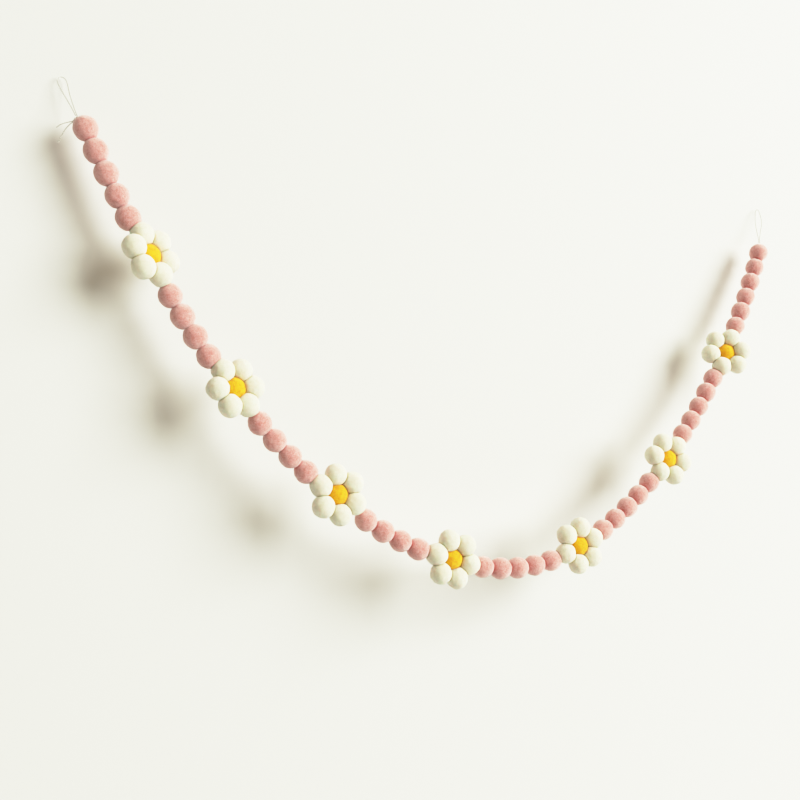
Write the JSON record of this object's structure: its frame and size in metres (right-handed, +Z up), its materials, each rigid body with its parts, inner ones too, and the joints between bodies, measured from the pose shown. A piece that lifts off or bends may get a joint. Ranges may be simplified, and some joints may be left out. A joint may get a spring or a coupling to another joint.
{
  "type": "felt ball garland",
  "caption": "Garland of pink felt balls and felt-ball daisies strung close together on a clear thread, hanging in a deep curve from a thread loop at each end.",
  "frame": {"origin": "top of the left hanging loop, where the wall's pin carries it", "axes": "+X along the garland from its left end to its right end, +Y into the wall behind it, +Z up"},
  "size_m": [0.759, 0.0366, 0.4073],
  "materials": {
    "pink_felt": "matt wool felt, finely mottled dusty pink",
    "white_felt": "matt wool felt, off-white",
    "yellow_felt": "matt wool felt, golden yellow",
    "clear_nylon": "clear nylon thread, slightly milky"
  },
  "bodies": {
    "root": {"ball_01": "pink_felt", "ball_02": "pink_felt", "ball_03": "pink_felt", "ball_04": "pink_felt", "ball_05": "pink_felt", "ball_06": "pink_felt", "ball_07": "pink_felt", "ball_08": "pink_felt", "ball_09": "pink_felt", "ball_10": "pink_felt", "ball_11": "pink_felt", "ball_12": "pink_felt", "ball_13": "pink_felt", "ball_14": "pink_felt", "ball_15": "pink_felt", "ball_16": "pink_felt", "ball_17": "pink_felt", "ball_18": "pink_felt", "ball_19": "pink_felt", "ball_20": "pink_felt", "ball_21": "pink_felt", "ball_22": "pink_felt", "ball_23": "pink_felt", "ball_24": "pink_felt", "ball_25": "pink_felt", "ball_26": "pink_felt", "ball_27": "pink_felt", "ball_28": "pink_felt", "ball_29": "pink_felt", "ball_30": "pink_felt", "ball_31": "pink_felt", "ball_32": "pink_felt", "ball_33": "pink_felt", "ball_34": "pink_felt", "ball_35": "pink_felt", "ball_36": "pink_felt", "ball_37": "pink_felt", "ball_38": "pink_felt", "daisy_1_centre": "yellow_felt", "daisy_1_petals": "white_felt", "daisy_2_centre": "yellow_felt", "daisy_2_petals": "white_felt", "daisy_3_centre": "yellow_felt", "daisy_3_petals": "white_felt", "daisy_4_centre": "yellow_felt", "daisy_4_petals": "white_felt", "daisy_5_centre": "yellow_felt", "daisy_5_petals": "white_felt", "daisy_6_centre": "yellow_felt", "daisy_6_petals": "white_felt", "daisy_7_centre": "yellow_felt", "daisy_7_petals": "white_felt", "knot_left": "clear_nylon", "knot_right": "clear_nylon", "loop_left": "clear_nylon", "loop_right": "clear_nylon", "tail_left_long": "clear_nylon", "tail_left_short": "clear_nylon"}
  },
  "joints": []
}
